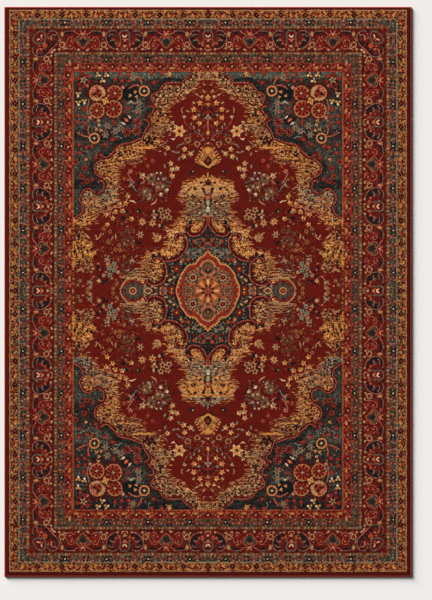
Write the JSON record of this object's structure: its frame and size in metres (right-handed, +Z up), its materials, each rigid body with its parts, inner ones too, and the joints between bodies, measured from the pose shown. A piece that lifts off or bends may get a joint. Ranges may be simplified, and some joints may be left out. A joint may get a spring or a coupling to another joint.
{
  "type": "area rug",
  "caption": "Rectangular power-loomed wool area rug with a traditional medallion pattern, layered ground weave, latex back and overcast edges.",
  "frame": {"origin": "on the floor, under the middle of the rug", "axes": "+X across the width, +Y along the length, +Z up out of the pile"},
  "size_m": [2.465, 3.45, 0.012],
  "materials": {
    "wool_pile": "cut wool pile",
    "serging_yarn": "wrapped yarn",
    "cotton_yarn": "matt spun yarn",
    "jute_yarn": "matt spun yarn",
    "latex_sizing": "thin satin latex coat",
    "label_satin": "woven satin",
    "label_thread": "spun thread"
  },
  "bodies": {
    "root": {"pile": "wool_pile", "upper_weft": "jute_yarn", "stuffer_warp": "cotton_yarn", "lower_weft": "jute_yarn", "back_sizing": "latex_sizing", "right_edge_cord": "cotton_yarn", "top_edge_cord": "cotton_yarn", "left_edge_cord": "cotton_yarn", "bottom_edge_cord": "cotton_yarn", "right_serging": "serging_yarn", "top_serging": "serging_yarn", "left_serging": "serging_yarn", "bottom_serging": "serging_yarn", "care_label": "label_satin", "label_thread": "label_thread"}
  },
  "joints": []
}
